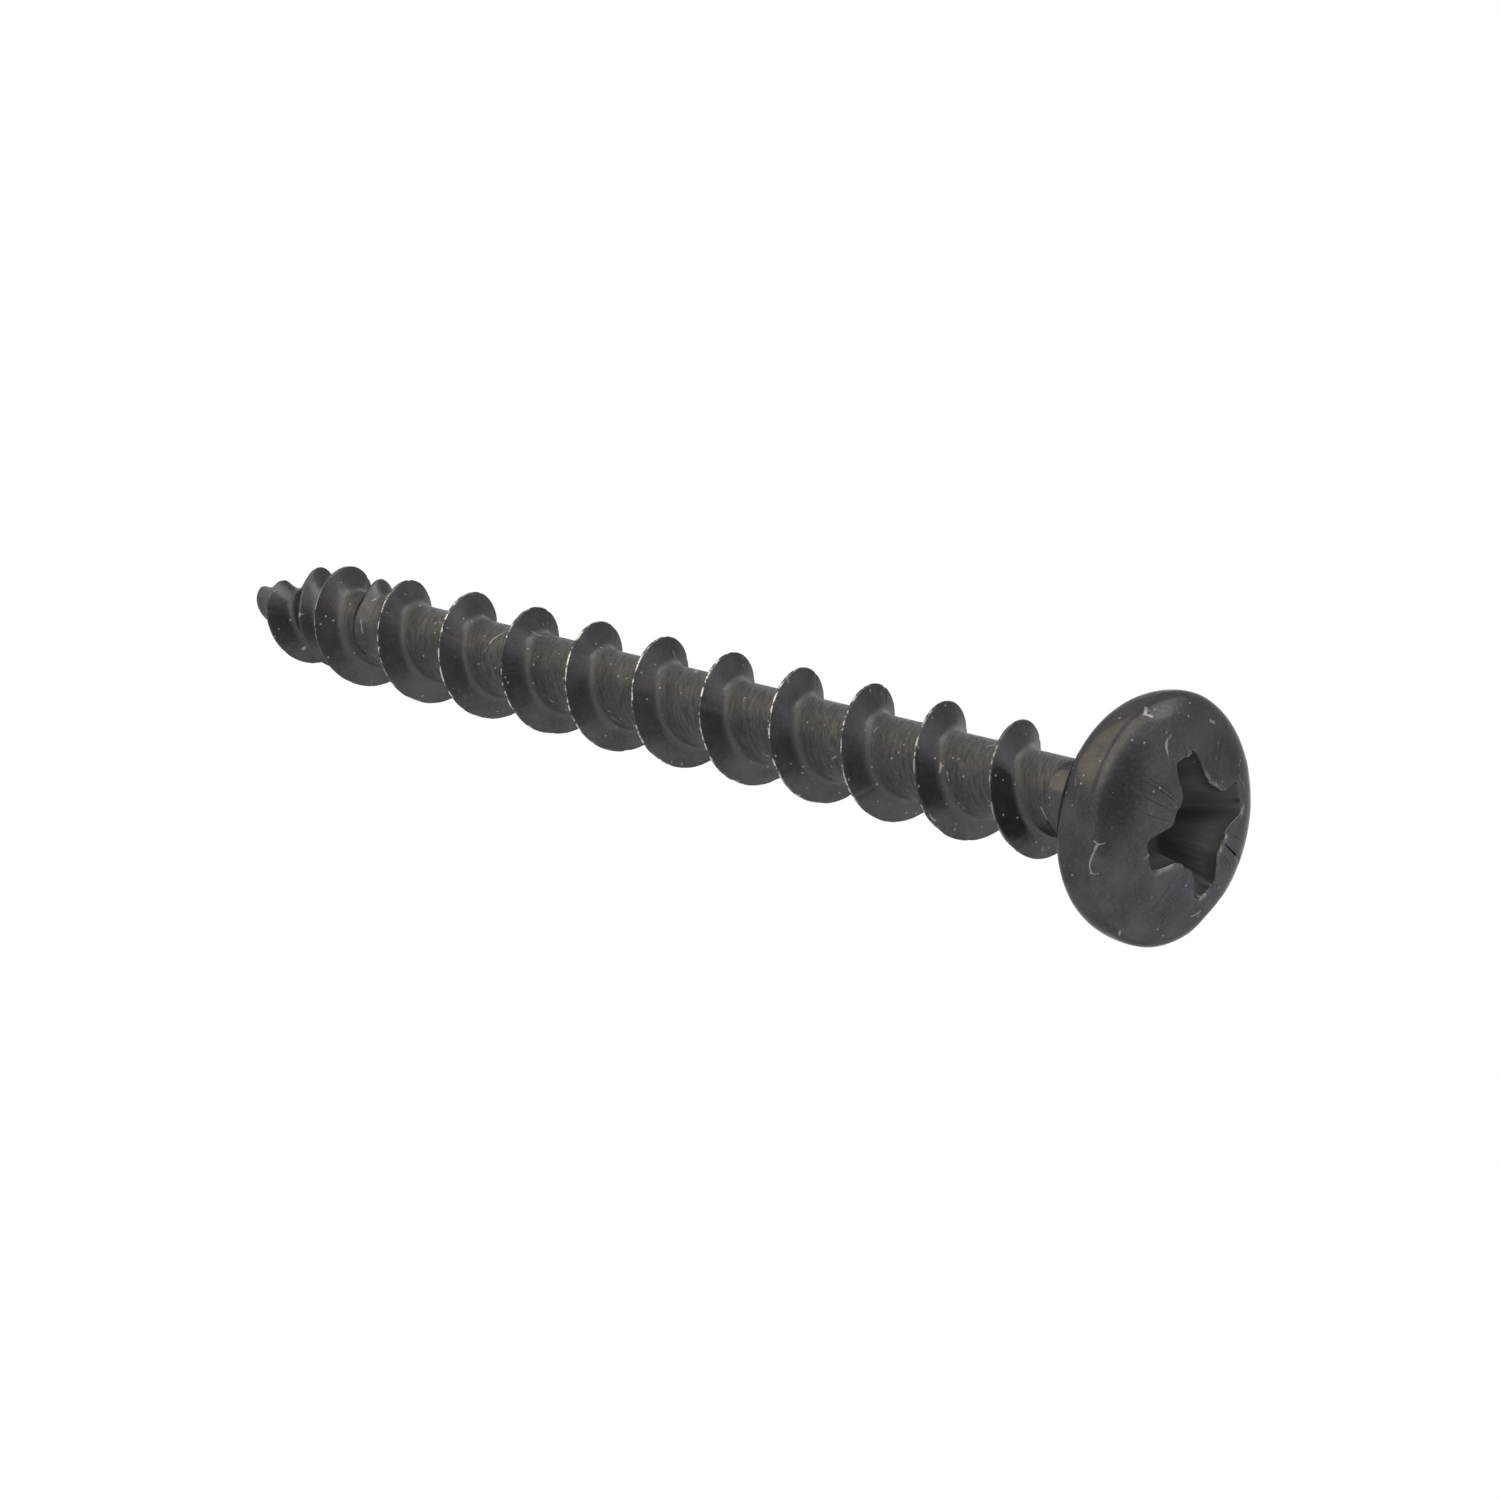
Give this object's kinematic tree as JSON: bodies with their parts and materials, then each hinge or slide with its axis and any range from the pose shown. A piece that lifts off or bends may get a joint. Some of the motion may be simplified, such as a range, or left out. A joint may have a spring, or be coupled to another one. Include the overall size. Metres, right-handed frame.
{
  "type": "wood screw",
  "caption": "Black wood screw with a domed pan head, cross drive recess, coarse right-hand thread and a short tapered point.",
  "frame": {"origin": "centre of the flat seat under the head, on the screw's axis", "axes": "+Z along the axis out of the head; the threaded shank runs towards -Z; +X along one wing of the drive recess"},
  "size_m": [0.008, 0.008, 0.0429],
  "materials": {
    "black_steel": "satin black phosphate"
  },
  "bodies": {
    "root": {"screw": "black_steel"}
  },
  "joints": []
}
